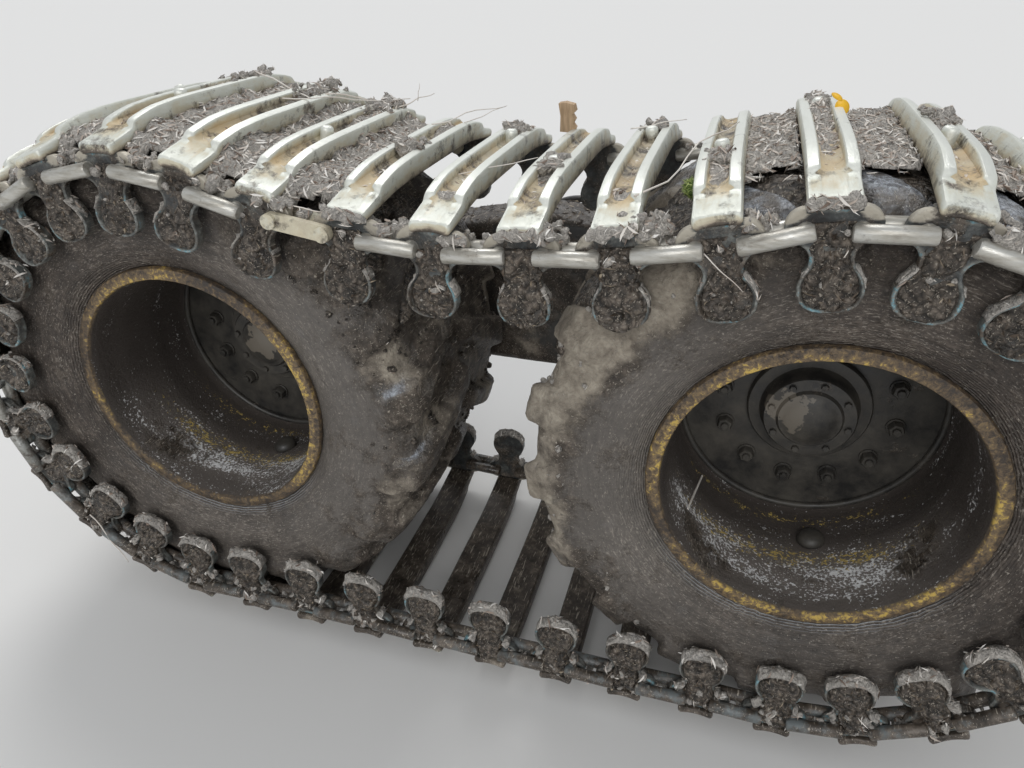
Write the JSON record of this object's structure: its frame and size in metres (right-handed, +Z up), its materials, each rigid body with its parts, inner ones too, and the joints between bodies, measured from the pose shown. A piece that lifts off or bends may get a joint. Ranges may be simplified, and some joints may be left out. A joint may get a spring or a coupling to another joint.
{
  "type": "tracked bogie of a forestry forwarder",
  "caption": "Bogie from one side of a forestry forwarder: tyred wheels on a rocking gear case, wrapped in one steel band track of ribbed cross members, links and side paddles.",
  "frame": {"origin": "on the ground under the middle of the bounding box, half way between the wheels", "axes": "+X forward along the bogie, +Y inboard towards the machine, +Z up"},
  "size_m": [3.0098, 1.305, 1.4721],
  "materials": {
    "tyre_rubber": "wet worn rubber with dried mud",
    "rim_paint": "worn yellow paint over brown primer",
    "disc_paint": "dark paint under oily mud",
    "hub_paint": "dark paint under mud",
    "nut_steel": "dull steel",
    "track_steel": "steel worn bright by the ground",
    "case_paint": "dark grey paint with mud",
    "axle_steel": "dark paint, machined flange face"
  },
  "bodies": {
    "bogie": {"track": "track_steel", "bogie_case": "case_paint", "case_covers": "case_paint", "case_plugs": "nut_steel", "axle_housings": "hub_paint", "pivot_housing": "case_paint"},
    "wheel_front": {"tyre_front": "tyre_rubber", "rim_front": "rim_paint", "wheel_disc_front": "disc_paint", "wheel_nuts_front": "nut_steel", "valve_guard_front": "disc_paint", "hub_front": "hub_paint"},
    "wheel_rear": {"tyre_rear": "tyre_rubber", "rim_rear": "rim_paint", "wheel_disc_rear": "disc_paint", "wheel_nuts_rear": "nut_steel", "valve_guard_rear": "disc_paint", "hub_rear": "hub_paint"},
    "axle_stub": {"axle_stub": "axle_steel"}
  },
  "joints": [
    {"name": "wheel_front_spin", "type": "hinge", "parent": "bogie", "child": "wheel_front", "pos_m": [0.7725, -0.2385, 0.736], "axis": [0, 1, 0], "continuous": true},
    {"name": "wheel_rear_spin", "type": "hinge", "parent": "bogie", "child": "wheel_rear", "pos_m": [-0.7725, -0.2385, 0.736], "axis": [0, 1, 0], "continuous": true},
    {"name": "bogie_pivot", "type": "hinge", "parent": "bogie", "child": "axle_stub", "pos_m": [0, -0.2385, 0.796], "axis": [0, 1, 0], "range_deg": [-15, 15]}
  ]
}
